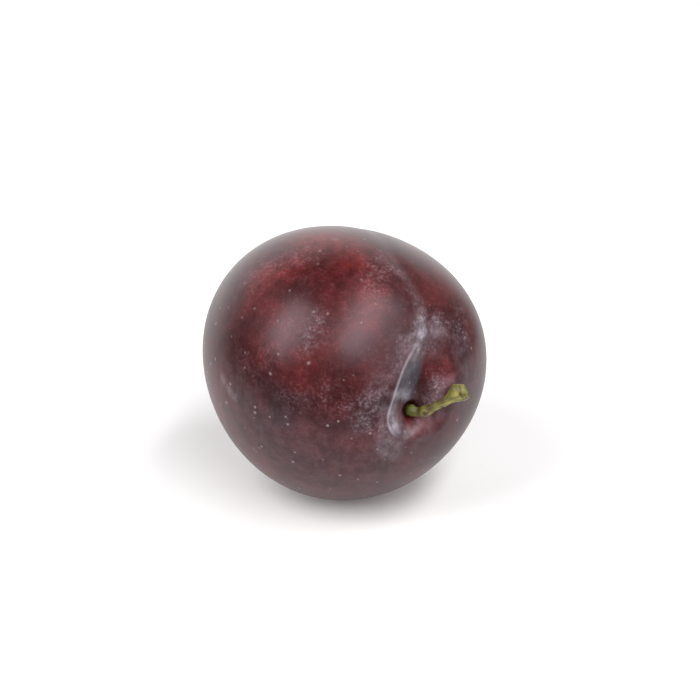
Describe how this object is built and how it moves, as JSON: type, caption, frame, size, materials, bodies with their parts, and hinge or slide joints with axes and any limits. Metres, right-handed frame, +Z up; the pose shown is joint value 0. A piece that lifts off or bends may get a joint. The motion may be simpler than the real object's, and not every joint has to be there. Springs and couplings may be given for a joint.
{
  "type": "plum",
  "caption": "Round dark red plum with a waxy bloom, a shallow suture and a short green stem rising from its hollow, lying on a small flat spot.",
  "frame": {"origin": "middle of the flat resting spot, straight below the middle of the fruit", "axes": "+Z up; the stem axis is level and the stem end faces -Y; the suture leans from straight up towards +X"},
  "size_m": [0.0546, 0.0604, 0.0523],
  "materials": {
    "skin": "satin waxy skin with a pale grey bloom",
    "stalk": "fresh green stalk, faintly ribbed"
  },
  "bodies": {
    "root": {"fruit": "skin", "stem": "stalk"}
  },
  "joints": []
}
